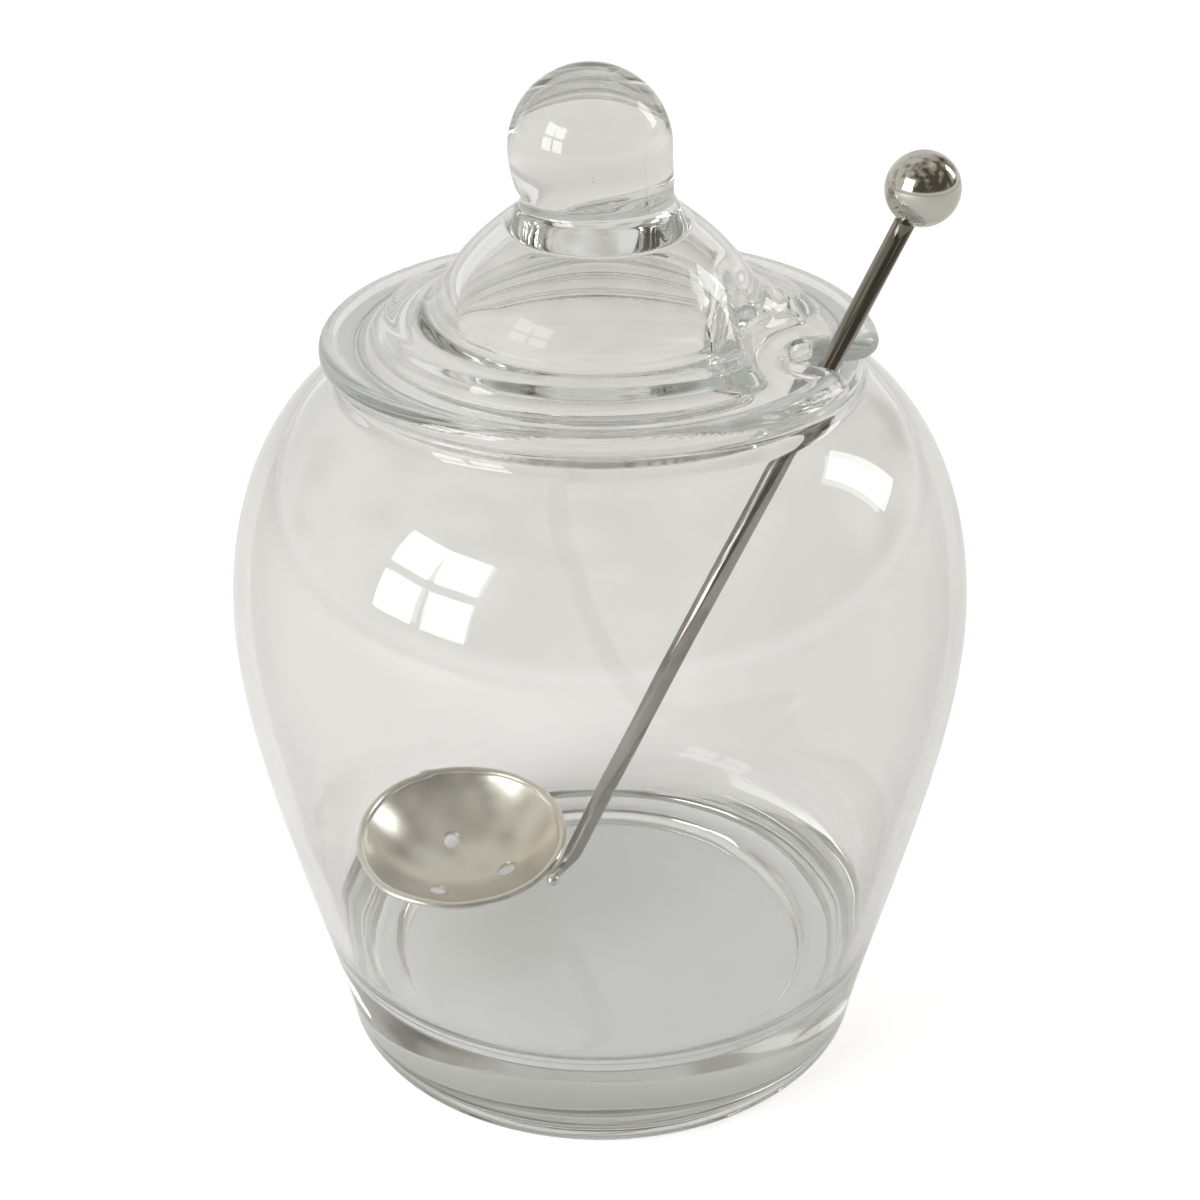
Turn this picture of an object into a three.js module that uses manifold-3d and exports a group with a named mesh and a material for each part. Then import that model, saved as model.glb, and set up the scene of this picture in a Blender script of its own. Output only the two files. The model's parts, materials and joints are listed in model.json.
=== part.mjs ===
// Glass olive jar: a blown jar with a thick base, a pressed lid with a ball knob and a
// notch in its flange, and a steel ladle whose rod leans out through that notch.
// Millimetres, +Z up. The origin is the centre of the jar's base.
import * as THREE from "three";
import { mergeVertices } from "three/addons/utils/BufferGeometryUtils.js";
import Module from "manifold-3d";

const wasm = await Module();
wasm.setup();

// Jar sizes
const HEEL_RADIUS = 50.6;
const HEEL_ROUNDING = 2.4;
const PUNT_RADIUS = 41;
const PUNT_DEPTH = 0.8;
const FLARE_ANGLE = THREE.MathUtils.degToRad(9.86);
const FLARE_REACH = 21.7;
const BELLY_RADIUS = 67;
const BELLY_HEIGHT = 87.3;
const BELLY_ROUNDING = 75;
const SHOULDER_EASE = 0.904;
const SHOULDER_SLOPE = THREE.MathUtils.degToRad(30.8);
const MOUTH_RADIUS = 42;
const LIP_WIDTH = 4.1;
const LIP_HEIGHT = 3.3;
const LIP_FLAT = 1.6;
const SEAT_HEIGHT = 136.3;
const WALL = 3;
const FLOOR_THICKNESS = 16;
const FLOOR_RADIUS = 34;
const FLOOR_FILLET = 11;
const FLOOR_FILLET_EASE = 2.75;
const FLOOR_DRAFT = 1;
const THROAT_REACH = 1;

// Lid sizes
const FLANGE_OVERHANG = 2.4;
const FLANGE_BAND = 8.3;
const FLANGE_THICKNESS = 4.4;
const PLUG_CLEARANCE = 0.8;
const PLUG_WIDTH = 4;
const PLUG_DEPTH = 4;
const PLUG_CHAMFER = 0.8;
const LID_WALL = 3.8;
const STEP_WIDTH = 4.6;
const STEP_HEIGHT = 3.4;
const STEP_EASE = 0.44;
const STEP_TREAD = 6.5;
const DOME_FILLET = 2;
const DOME_HEIGHT = 22.1;
const DOME_LOWER_IN = 0.17;
const DOME_LOWER_UP = 0.43;
const DOME_UPPER_IN = 0.49;
const DOME_UPPER_UP = 0.68;
const HOLLOW_CROWN = 2;
const NECK_RADIUS = 12.8;
const KNOB_RADIUS = 13.85;
const KNOB_WAIST = 9.4;
const KNOB_FULLNESS = 0.7;
const NECK_FILLET = 1.2;
const KNOB_LEAN = 1.3;

// Notch in the lid's flange, and the shelf that carries the step round it
const NOTCH_AZIMUTH = THREE.MathUtils.degToRad(-18.6);
const NOTCH_WIDTH = 10.4;
const NOTCH_DEPTH = 13.7;
const LOBE_RADIUS = 6.5;
const SHELF_WIDTH = 5.2;
const SHELF_RADIUS = 23.7;
const SHELF_CORNER = 7;
const SHELF_DRAFT = 0.8;

// Ladle sizes
const BOWL_RADIUS = 20.4;
const BOWL_DEPTH = 9.5;
const BOWL_SHEET = 0.9;
const BOWL_BEAD = 0.65;
const BEAD_START = THREE.MathUtils.degToRad(-63);
const DRAIN_COUNT = 3;
const DRAIN_RADIUS = 1.75;
const DRAIN_CIRCLE = 8.7;
const DRAIN_SHIFT = 0.8;
const DRAIN_AZIMUTH = THREE.MathUtils.degToRad(-7);
const ROD_RADIUS = 1.75;
const ROD_BEYOND_LIP = 36.96;
const BALL_RADIUS = 6.15;
const SOCKET_DEPTH = 5;
const BLADE_WIDTH = 3.4;
const BLADE_THICKNESS = 3;
const BLADE_LENGTH = 9;
const BLADE_TAPER = 6;
const BEND_RISE = 4;
const TAB_THICKNESS = 1.8;
const TAB_WIDTH = 2.4;
const TAB_DROP = 0.5;
const TAB_START = THREE.MathUtils.degToRad(-34);
const TAB_END = THREE.MathUtils.degToRad(-27);
const ROD_AZIMUTH = THREE.MathUtils.degToRad(-20);
const WELD_RADIUS = 1.3;

// How the ladle lies in the jar
const BOWL_AZIMUTH = THREE.MathUtils.degToRad(159.1);
const BOWL_TILT = THREE.MathUtils.degToRad(4.2);
const BOWL_WALL_GAP = 0.3;
const REST_GAP = 0.3;

// Fineness
const ROUND_STEPS = 52;
const KNOB_STEPS = 32;
const BOWL_STEPS = 36;
const BALL_STEPS = 24;
const ROD_STEPS = 12;
const BEND_STEPS = 4;
const CURVE_STEPS = 7;
const FLANK_STEPS = 8;
const FINE_STEPS = 96;
const DOME_STEPS = 10;
const ARC_STEPS = 4;
const CORNER_STEPS = 3;
const EDGE_STEPS = 6;
const POCKET_STEPS = 10;
const STEP_STEPS = 6;
const MERGE_DISTANCE = 1e-4;
const CUT_MARGIN = 1;

// Glass and steel
const GLASS = { color: 0xdfe5e2, roughness: 0.03, metalness: 0, transparent: true, opacity: 0.35 };
const POLISHED_STEEL = { color: 0xc9c8c4, roughness: 0.12, metalness: 1 };
const SATIN_STEEL = { color: 0xb9b8b0, roughness: 0.32, metalness: 1 };

// Turns a mesh into a solid that can be joined and cut.
function toSolid(geometry) {
  const plain = geometry.clone();
  plain.deleteAttribute("normal");
  plain.deleteAttribute("uv");
  const merged = mergeVertices(plain, MERGE_DISTANCE);
  const index = merged.getIndex().array;
  const kept = [];
  for (let i = 0; i < index.length; i += 3) {
    const [a, b, c] = [index[i], index[i + 1], index[i + 2]];
    if (a !== b && b !== c && c !== a) {
      kept.push(a, b, c);
    }
  }
  const vertProperties = new Float32Array(merged.getAttribute("position").array);
  const triVerts = new Uint32Array(kept);
  return new wasm.Manifold(new wasm.Mesh({ numProp: 3, vertProperties, triVerts }));
}

// Turns a solid back into a mesh's geometry.
function toGeometry(solid) {
  const mesh = solid.getMesh();
  const geometry = new THREE.BufferGeometry();
  geometry.setAttribute("position", new THREE.BufferAttribute(mesh.vertProperties, 3));
  geometry.setIndex(new THREE.BufferAttribute(mesh.triVerts, 1));
  geometry.computeVertexNormals();
  return geometry;
}

// A solid turned about the Z axis from a profile of (radius, height) points, which runs
// from the axis up the outside and back to the axis.
function turned(profile, steps = ROUND_STEPS) {
  const geometry = new THREE.LatheGeometry(profile, steps);
  geometry.rotateX(Math.PI / 2);
  return geometry;
}

// A closed skin over a stack of rings with equal numbers of points. The end caps are
// filled as capOutline, the same ring in two dimensions.
function skin(rings, capOutline) {
  const count = rings[0].length;
  const positions = rings.flat().flatMap((point) => point.toArray());
  const index = [];
  for (let level = 0; level < rings.length - 1; level += 1) {
    for (let i = 0; i < count; i += 1) {
      const next = (i + 1) % count;
      const low = level * count;
      const high = low + count;
      index.push(low + i, low + next, high + next, low + i, high + next, high + i);
    }
  }
  const top = (rings.length - 1) * count;
  for (const [a, b, c] of THREE.ShapeUtils.triangulateShape(capOutline, [])) {
    index.push(c, b, a, top + a, top + b, top + c);
  }
  const geometry = new THREE.BufferGeometry();
  geometry.setAttribute("position", new THREE.Float32BufferAttribute(positions, 3));
  geometry.setIndex(index);
  return geometry;
}

// Points of an arc about (x, y), both ends included.
function arc(x, y, radius, from, to, steps = ARC_STEPS) {
  const points = [];
  for (let i = 0; i <= steps; i += 1) {
    const angle = from + ((to - from) * i) / steps;
    points.push(new THREE.Vector2(x + radius * Math.cos(angle), y + radius * Math.sin(angle)));
  }
  return points;
}

// Points of a cubic curve through four control points given as [x, y].
function bezier(a, b, c, d, steps = CURVE_STEPS) {
  const [p, q, r, s] = [a, b, c, d].map(([x, y]) => new THREE.Vector2(x, y));
  return new THREE.CubicBezierCurve(p, q, r, s).getPoints(steps);
}

// A curve's points, moved sideways to its left by a distance.
function offsetPoints(curve, distance, steps) {
  const points = [];
  for (let i = 0; i <= steps; i += 1) {
    const tangent = curve.getTangent(i / steps);
    const normal = new THREE.Vector2(-tangent.y, tangent.x);
    points.push(curve.getPoint(i / steps).addScaledVector(normal, distance));
  }
  return points;
}

// Jar: the outside as two curves that meet at the belly with one rounding

const lipOuterRadius = MOUTH_RADIUS + LIP_WIDTH;
const lipFoot = SEAT_HEIGHT - LIP_HEIGHT;

const flareRadius = HEEL_RADIUS + FLARE_REACH * Math.sin(FLARE_ANGLE);
const slopeRadius = THREE.MathUtils.lerp(lipOuterRadius, BELLY_RADIUS, SHOULDER_EASE);

// The handle that gives a curve the belly's rounding, from its next control point's radius.
function bellyHandle(radius) {
  return Math.sqrt((2 / 3) * (BELLY_RADIUS - radius) * BELLY_ROUNDING);
}

const flank = new THREE.CubicBezierCurve(
  new THREE.Vector2(HEEL_RADIUS, HEEL_ROUNDING),
  new THREE.Vector2(flareRadius, HEEL_ROUNDING + FLARE_REACH * Math.cos(FLARE_ANGLE)),
  new THREE.Vector2(BELLY_RADIUS, BELLY_HEIGHT - bellyHandle(flareRadius)),
  new THREE.Vector2(BELLY_RADIUS, BELLY_HEIGHT)
);

const shoulder = new THREE.CubicBezierCurve(
  new THREE.Vector2(BELLY_RADIUS, BELLY_HEIGHT),
  new THREE.Vector2(BELLY_RADIUS, BELLY_HEIGHT + bellyHandle(slopeRadius)),
  new THREE.Vector2(slopeRadius, lipFoot - (slopeRadius - lipOuterRadius) * Math.tan(SHOULDER_SLOPE)),
  new THREE.Vector2(lipOuterRadius, lipFoot)
);

const lipRounding = (LIP_WIDTH - LIP_FLAT) / 2;
const lipTopOuter = lipOuterRadius - lipRounding;
const lipTopInner = MOUTH_RADIUS + lipRounding;
const filletTop = FLOOR_THICKNESS + FLOOR_FILLET;

// Inner radius of the jar's wall at a height below the belly.
function innerRadiusAt(height) {
  const wall = offsetPoints(flank, WALL, FINE_STEPS);
  const above = wall.findIndex((point) => point.y >= height);
  const [low, high] = wall.slice(above - 1, above + 1);
  return THREE.MathUtils.mapLinear(height, low.y, high.y, low.x, high.x);
}

const innerWall = [
  new THREE.Vector2(innerRadiusAt(filletTop), filletTop),
  ...offsetPoints(flank, WALL, FLANK_STEPS).filter((point) => point.y > filletTop),
  ...offsetPoints(shoulder, WALL, CURVE_STEPS).slice(1),
];

function jarGeometry() {
  const wallFoot = innerWall[0];
  const wallTop = innerWall[innerWall.length - 1];
  const punt = bezier(
    [0, PUNT_DEPTH], [PUNT_RADIUS / 2, PUNT_DEPTH], [PUNT_RADIUS, PUNT_DEPTH], [PUNT_RADIUS, 0], CORNER_STEPS
  );
  const heelFlat = HEEL_RADIUS - HEEL_ROUNDING;
  const heel = arc(heelFlat, HEEL_ROUNDING, HEEL_ROUNDING, -Math.PI / 2, 0, CORNER_STEPS);
  const lipOutside = arc(lipTopOuter, SEAT_HEIGHT - lipRounding, lipRounding, 0, Math.PI / 2);
  const lipInside = arc(lipTopInner, SEAT_HEIGHT - lipRounding, lipRounding, Math.PI / 2, Math.PI);
  const throat = bezier(
    [MOUTH_RADIUS, lipFoot + THROAT_REACH / 2], [MOUTH_RADIUS, lipFoot - THROAT_REACH],
    [wallTop.x - THROAT_REACH, wallTop.y + THROAT_REACH / 2], [wallTop.x, wallTop.y], CORNER_STEPS
  );
  const floorFillet = bezier(
    [wallFoot.x, wallFoot.y], [wallFoot.x - FLOOR_DRAFT, FLOOR_THICKNESS + FLOOR_FILLET_EASE],
    [FLOOR_RADIUS + FLOOR_FILLET, FLOOR_THICKNESS], [FLOOR_RADIUS, FLOOR_THICKNESS]
  );
  return turned([
    ...punt,
    ...heel,
    ...flank.getPoints(FLANK_STEPS).slice(1),
    ...shoulder.getPoints(CURVE_STEPS).slice(1),
    ...lipOutside,
    ...lipInside,
    ...throat,
    ...innerWall.slice(0, -1).reverse(),
    ...floorFillet.slice(1),
    new THREE.Vector2(0, FLOOR_THICKNESS),
  ]);
}

// Lid: heights and radii that follow from its sizes

const flangeTop = SEAT_HEIGHT + FLANGE_THICKNESS;
const flangeRounding = FLANGE_THICKNESS / 2;
const plugFoot = SEAT_HEIGHT - PLUG_DEPTH;
const plugRadius = MOUTH_RADIUS - PLUG_CLEARANCE;
const hollowRadius = plugRadius - PLUG_WIDTH;
const flangeRadius = lipOuterRadius + FLANGE_OVERHANG;
const stepFootRadius = flangeRadius - FLANGE_BAND;
const stepTopRadius = stepFootRadius - STEP_WIDTH;
const domeFootRadius = stepTopRadius - STEP_TREAD;
const stepTop = flangeTop + STEP_HEIGHT;
const neckHeight = flangeTop + DOME_HEIGHT;
const hollowTop = neckHeight - LID_WALL;

// The step as [share of its width, share of its height], from its foot to its top.
const STEP_CURVE = bezier([0, 0], [STEP_EASE, 0], [STEP_EASE, 1], [1, 1], STEP_STEPS);

// The dome, from its foot on the step to the neck.
const domeSpan = domeFootRadius - NECK_RADIUS;
const domeRise = neckHeight - stepTop;
const domeCurve = new THREE.CubicBezierCurve(
  new THREE.Vector2(domeFootRadius, stepTop),
  new THREE.Vector2(domeFootRadius - domeSpan * DOME_LOWER_IN, stepTop + domeRise * DOME_LOWER_UP),
  new THREE.Vector2(domeFootRadius - domeSpan * DOME_UPPER_IN, stepTop + domeRise * DOME_UPPER_UP),
  new THREE.Vector2(NECK_RADIUS, neckHeight)
);

function lidOuterProfile() {
  const edgeCentre = flangeRadius - flangeRounding;
  const edge = arc(
    edgeCentre, SEAT_HEIGHT + flangeRounding, flangeRounding, -Math.PI / 2, Math.PI / 2, EDGE_STEPS
  );
  const step = STEP_CURVE.map(({ x, y }) => (
    new THREE.Vector2(stepFootRadius - x * STEP_WIDTH, flangeTop + y * STEP_HEIGHT)
  ));
  const dome = domeCurve.getPoints(DOME_STEPS);
  const fillet = new THREE.QuadraticBezierCurve(
    new THREE.Vector2(domeFootRadius + DOME_FILLET, stepTop), dome[0], dome[1]
  ).getPoints(CORNER_STEPS);
  return [
    new THREE.Vector2(0, plugFoot),
    new THREE.Vector2(plugRadius - PLUG_CHAMFER, plugFoot),
    new THREE.Vector2(plugRadius, plugFoot + PLUG_CHAMFER),
    new THREE.Vector2(plugRadius, SEAT_HEIGHT),
    ...edge,
    ...step,
    ...fillet,
    ...dome.slice(2),
    new THREE.Vector2(0, neckHeight),
  ];
}

// The hollow under the dome, which the plug ring opens into. It keeps the lid's wall.
function lidHollowProfile() {
  const innerStepTop = stepTop - LID_WALL;
  const dome = offsetPoints(domeCurve, LID_WALL, CURVE_STEPS)
    .filter((point) => point.y < hollowTop - HOLLOW_CROWN);
  const stepEnd = new THREE.Vector2(stepTopRadius - LID_WALL, innerStepTop);
  const step = bezier(
    [hollowRadius, plugFoot + PLUG_CHAMFER], [hollowRadius, SEAT_HEIGHT],
    [stepTopRadius, innerStepTop], [stepEnd.x, stepEnd.y], ARC_STEPS
  );
  const foot = new THREE.QuadraticBezierCurve(
    stepEnd, new THREE.Vector2(dome[0].x, innerStepTop), dome[0]
  ).getPoints(CORNER_STEPS);
  const crownFoot = dome[dome.length - 1];
  const crown = new THREE.QuadraticBezierCurve(
    crownFoot, new THREE.Vector2(crownFoot.x / 2, hollowTop), new THREE.Vector2(0, hollowTop)
  ).getPoints(CORNER_STEPS);
  return [
    new THREE.Vector2(0, plugFoot - CUT_MARGIN),
    new THREE.Vector2(hollowRadius + PLUG_CHAMFER, plugFoot - CUT_MARGIN),
    new THREE.Vector2(hollowRadius + PLUG_CHAMFER, plugFoot),
    ...step,
    ...foot.slice(1),
    ...dome.slice(1),
    ...crown.slice(1),
  ];
}

// The notch and its shelf are laid out along u, outwards on the notch's azimuth, and v,
// across it. Each is a pocket: a round end about a centre on u, and a rounded corner on
// each side that meets the edge which the pocket opens through.
function pocket(centre, radius, corner, edge) {
  const out = edge - corner;
  const u = (out ** 2 - (radius + corner) ** 2 + centre ** 2) / (2 * centre);
  const v = Math.sqrt(out ** 2 - u ** 2);
  return { centre, radius, corner, u, v, turn: Math.atan2(v, u - centre), opening: Math.atan2(v, u) };
}

// A pocket's outline, moved into the glass by inset and run out past the flange.
function pocketOutline({ centre, radius, corner, u, v, turn, opening }, inset) {
  const beyond = new THREE.Vector2(Math.cos(opening), Math.sin(opening)).multiplyScalar(BELLY_RADIUS);
  const side = [...arc(u, v, corner - inset, turn - Math.PI, opening, EDGE_STEPS), beyond];
  const end = arc(centre, 0, radius + inset, turn, 2 * Math.PI - turn, POCKET_STEPS).slice(1, -1);
  return [...side.reverse(), ...end, ...side.map(({ x, y }) => new THREE.Vector2(x, -y)).reverse()];
}

const notchInner = flangeRadius - NOTCH_DEPTH;
const notch = pocket(notchInner + NOTCH_WIDTH / 2, NOTCH_WIDTH / 2, LOBE_RADIUS, flangeRadius);
const shelf = pocket(notchInner - SHELF_WIDTH + SHELF_RADIUS, SHELF_RADIUS, SHELF_CORNER, stepFootRadius);

function fromNotch(u, v, height) {
  const across = new THREE.Vector3(-Math.sin(NOTCH_AZIMUTH), Math.cos(NOTCH_AZIMUTH), 0);
  return new THREE.Vector3(Math.cos(NOTCH_AZIMUTH), Math.sin(NOTCH_AZIMUTH), 0)
    .multiplyScalar(u).addScaledVector(across, v).setZ(height);
}

// A solid through outlines of the notch's plane, each at its own height.
function notchStack(levels) {
  const rings = levels.map(({ outline, height }) => outline.map(({ x, y }) => fromNotch(x, y, height)));
  return toSolid(skin(rings, levels[0].outline));
}

// The notch's edge is rounded over the flange's whole thickness, as its rim is.
function notchTool() {
  const levels = [{ outline: pocketOutline(notch, flangeRounding), height: plugFoot - CUT_MARGIN }];
  for (const point of arc(0, flangeRounding, flangeRounding, -Math.PI / 2, Math.PI / 2, EDGE_STEPS)) {
    levels.push({
      outline: pocketOutline(notch, flangeRounding - point.x),
      height: SEAT_HEIGHT + point.y,
    });
  }
  levels.push({ outline: pocketOutline(notch, flangeRounding), height: neckHeight });
  return notchStack(levels);
}

// The shelf round the notch: the step runs round it with the same S-shaped section.
function shelfTool() {
  const levels = STEP_CURVE.map(({ x, y }) => (
    { outline: pocketOutline(shelf, x * STEP_WIDTH), height: flangeTop + y * STEP_HEIGHT }
  ));
  levels.push({ outline: pocketOutline(shelf, STEP_WIDTH + SHELF_DRAFT), height: neckHeight });
  return notchStack(levels);
}

// Glass that stays between the shelf and the hollow.
function shelfBacking() {
  return notchStack([
    { inset: LID_WALL, height: SEAT_HEIGHT },
    { inset: LID_WALL + STEP_WIDTH, height: SEAT_HEIGHT + STEP_HEIGHT },
    { inset: LID_WALL + STEP_WIDTH, height: neckHeight },
  ].map(({ inset, height }) => (
    { outline: arc(shelf.centre, 0, SHELF_RADIUS + inset, 0, 2 * Math.PI, ROUND_STEPS).slice(1), height }
  )));
}

function coverGeometry() {
  const hollow = toSolid(turned(lidHollowProfile())).subtract(shelfBacking());
  const cover = toSolid(turned(lidOuterProfile()));
  return toGeometry(cover.subtract(shelfTool()).subtract(hollow).subtract(notchTool()));
}

// The knob was gathered on the neck by hand: it leans a little, and it narrows only
// slightly from its middle to its foot.
function knobGeometry() {
  const middle = neckHeight + KNOB_WAIST;
  const flank = bezier(
    [NECK_RADIUS, neckHeight], [NECK_RADIUS, neckHeight + NECK_FILLET],
    [KNOB_RADIUS, middle - KNOB_WAIST * KNOB_FULLNESS], [KNOB_RADIUS, middle]
  );
  const crown = arc(0, middle, KNOB_RADIUS, 0, Math.PI / 2, CURVE_STEPS);
  const geometry = turned([new THREE.Vector2(0, neckHeight), ...flank, ...crown.slice(1)], KNOB_STEPS);
  const position = geometry.getAttribute("position");
  for (let i = 0; i < position.count; i += 1) {
    const share = Math.min((position.getZ(i) - neckHeight) / KNOB_WAIST, 1);
    position.setX(i, position.getX(i) - KNOB_LEAN * Math.sin((share * Math.PI) / 2));
  }
  return geometry;
}

// Ladle: its own frame has the origin at the middle of the bowl's rim and +Z up its axis

const sphereInside = (BOWL_RADIUS ** 2 + BOWL_DEPTH ** 2) / (2 * BOWL_DEPTH);
const sphereOutside = sphereInside + BOWL_SHEET;
const sphereHeight = sphereInside - BOWL_DEPTH;
const rimOutside = BOWL_RADIUS + 2 * BOWL_BEAD;

// A shallow spherical bowl with a rolled rim. Its drain holes lie on a circle that is a
// little off the bowl's middle.
function bowlGeometry() {
  const innerEdge = -Math.asin(sphereHeight / sphereInside);
  const outerEdge = -Math.asin((sphereHeight + BOWL_BEAD) / sphereOutside);
  const outside = arc(0, sphereHeight, sphereOutside, -Math.PI / 2, outerEdge, CURVE_STEPS);
  const bead = arc(BOWL_RADIUS + BOWL_BEAD, 0, BOWL_BEAD, BEAD_START, Math.PI);
  const inside = arc(0, sphereHeight, sphereInside, innerEdge, -Math.PI / 2, CURVE_STEPS);
  let bowl = toSolid(turned([...outside, ...bead, ...inside.slice(1)], BOWL_STEPS));
  for (let i = 0; i < DRAIN_COUNT; i += 1) {
    const angle = DRAIN_AZIMUTH + (i * 2 * Math.PI) / DRAIN_COUNT;
    const drain = new THREE.CylinderGeometry(DRAIN_RADIUS, DRAIN_RADIUS, BOWL_DEPTH, ROD_STEPS);
    drain.rotateX(Math.PI / 2);
    drain.translate(
      DRAIN_SHIFT + DRAIN_CIRCLE * Math.cos(angle), DRAIN_CIRCLE * Math.sin(angle), -BOWL_DEPTH
    );
    bowl = bowl.subtract(toSolid(drain));
  }
  return toGeometry(bowl);
}

// The ladle stands on the jar's floor, its bowl beside the wall.
const bowlAxis = new THREE.Vector3(0, -Math.sin(BOWL_TILT), Math.cos(BOWL_TILT));
const bowlLowest = sphereHeight * Math.cos(BOWL_TILT) - sphereOutside;
const rimHeight = FLOOR_THICKNESS + REST_GAP - bowlLowest;
const bowlOut = innerRadiusAt(rimHeight) - BOWL_WALL_GAP - rimOutside;

const ladle = new THREE.Group();
ladle.position.set(bowlOut * Math.cos(BOWL_AZIMUTH), bowlOut * Math.sin(BOWL_AZIMUTH), rimHeight);
ladle.quaternion.setFromUnitVectors(new THREE.Vector3(0, 0, 1), bowlAxis);
ladle.updateMatrixWorld(true);

// A point beside the rim, clear of it by the resting gap, for a piece of this thickness.
function besideRim(angle, thickness) {
  const out = rimOutside + REST_GAP + thickness / 2;
  return new THREE.Vector3(out * Math.cos(angle), out * Math.sin(angle), -TAB_DROP);
}

// The rod's axis runs from its foot beside the rim to the mouth, where it leans on the
// rounding of the lip in the middle of the notch.
const rodFoot = besideRim(ROD_AZIMUTH, BLADE_WIDTH);
const footInJar = ladle.localToWorld(rodFoot.clone());
const lipCentre = fromNotch(lipTopInner, 0, SEAT_HEIGHT - lipRounding);
const leanCosine = (lipCentre.z - footInJar.z) / lipCentre.distanceTo(footInJar);
const rodFromLip = (lipRounding + ROD_RADIUS + REST_GAP) / leanCosine;
const rodAtMouth = fromNotch(lipTopInner - rodFromLip, 0, lipCentre.z);
const rodDirection = ladle.worldToLocal(rodAtMouth.clone()).sub(rodFoot).normalize();
const rodLength = rodAtMouth.distanceTo(footInJar) + ROD_BEYOND_LIP;
const rodEnd = rodFoot.clone().addScaledVector(rodDirection, rodLength);
const ballCentre = rodEnd.clone().addScaledVector(rodDirection, REST_GAP + BALL_RADIUS - SOCKET_DEPTH);

// One oval ring of the handle, its depth measured along outwards and its width across it.
function handleRing(centre, tangent, outwards, depth, width) {
  const wide = new THREE.Vector3().crossVectors(tangent, outwards).normalize();
  const deep = new THREE.Vector3().crossVectors(wide, tangent).normalize();
  return arc(0, 0, 0.5, 0, Math.PI * 2, ROD_STEPS).slice(0, -1).map(({ x, y }) => (
    centre.clone().addScaledVector(deep, x * depth).addScaledVector(wide, y * width)
  ));
}

// From the weld: the tab that hugs the rim, the bend, the flattened blade and the rod.
function handleGeometry() {
  const rings = [];
  for (let i = 0; i <= BEND_STEPS; i += 1) {
    const angle = THREE.MathUtils.lerp(TAB_START, TAB_END, i / BEND_STEPS);
    const tangent = new THREE.Vector3(-Math.sin(angle), Math.cos(angle), 0);
    const outwards = new THREE.Vector3(Math.cos(angle), Math.sin(angle), 0);
    rings.push(handleRing(besideRim(angle, TAB_THICKNESS), tangent, outwards, TAB_THICKNESS, TAB_WIDTH));
  }
  const outwards = new THREE.Vector3(Math.cos(ROD_AZIMUTH), Math.sin(ROD_AZIMUTH), 0);
  const bladeStart = rodFoot.clone().addScaledVector(rodDirection, BEND_RISE);
  const bend = new THREE.QuadraticBezierCurve3(besideRim(TAB_END, TAB_THICKNESS), rodFoot, bladeStart);
  for (let i = 1; i <= BEND_STEPS; i += 1) {
    const share = i / BEND_STEPS;
    const depth = THREE.MathUtils.lerp(TAB_THICKNESS, BLADE_WIDTH, share);
    const width = THREE.MathUtils.lerp(TAB_WIDTH, BLADE_THICKNESS, share);
    rings.push(handleRing(bend.getPoint(share), bend.getTangent(share), outwards, depth, width));
  }
  for (const [along, depth, width] of [
    [BLADE_LENGTH, BLADE_WIDTH, BLADE_THICKNESS],
    [BLADE_LENGTH + BLADE_TAPER, 2 * ROD_RADIUS, 2 * ROD_RADIUS],
    [rodLength, 2 * ROD_RADIUS, 2 * ROD_RADIUS],
  ]) {
    const centre = rodFoot.clone().addScaledVector(rodDirection, along);
    rings.push(handleRing(centre, rodDirection, outwards, depth, width));
  }
  const handle = toSolid(skin(rings, arc(0, 0, 1, 0, Math.PI * 2, ROD_STEPS).slice(0, -1)));
  const weld = new THREE.SphereGeometry(WELD_RADIUS, ROD_STEPS, ROD_STEPS / 2);
  weld.translate(...besideRim(TAB_START, WELD_RADIUS * 2).toArray());
  return toGeometry(handle.add(toSolid(weld)));
}

// The ball's socket takes the rod's end. Its flats keep the resting gap.
function ballGeometry() {
  const ball = toSolid(new THREE.SphereGeometry(BALL_RADIUS, BALL_STEPS, BALL_STEPS / 2));
  const socketRadius = (ROD_RADIUS + REST_GAP) / Math.cos(Math.PI / ROD_STEPS);
  const socket = new THREE.CylinderGeometry(socketRadius, socketRadius, SOCKET_DEPTH * 2, ROD_STEPS);
  socket.rotateX(Math.PI / 2);
  socket.translate(0, 0, -BALL_RADIUS);
  const geometry = toGeometry(ball.subtract(toSolid(socket)));
  const turn = new THREE.Quaternion().setFromUnitVectors(new THREE.Vector3(0, 0, 1), rodDirection);
  geometry.applyQuaternion(turn);
  geometry.translate(...ballCentre.toArray());
  return geometry;
}

function piece(name, geometry, finish) {
  const mesh = new THREE.Mesh(geometry, new THREE.MeshStandardMaterial(finish));
  mesh.name = name;
  return mesh;
}

ladle.add(piece("ladle_bowl", bowlGeometry(), SATIN_STEEL));
ladle.add(piece("ladle_handle", handleGeometry(), POLISHED_STEEL));
ladle.add(piece("ladle_ball", ballGeometry(), POLISHED_STEEL));

const oliveJar = new THREE.Group();
oliveJar.add(piece("jar_body", jarGeometry(), GLASS));
oliveJar.add(piece("lid_cover", coverGeometry(), GLASS));
oliveJar.add(piece("lid_knob", knobGeometry(), GLASS));
oliveJar.add(ladle);

export default oliveJar;
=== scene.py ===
"""Glass olive jar with a bell lid and a steel ladle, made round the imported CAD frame.

The object's lengths are written in millimetres and scaled by MM where a mesh is made.
Reliefs and the room's lengths are in metres, and the room's angles in degrees.
"""

import json
import math

import bpy
import numpy as np
from mathutils import Matrix, Vector


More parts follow.
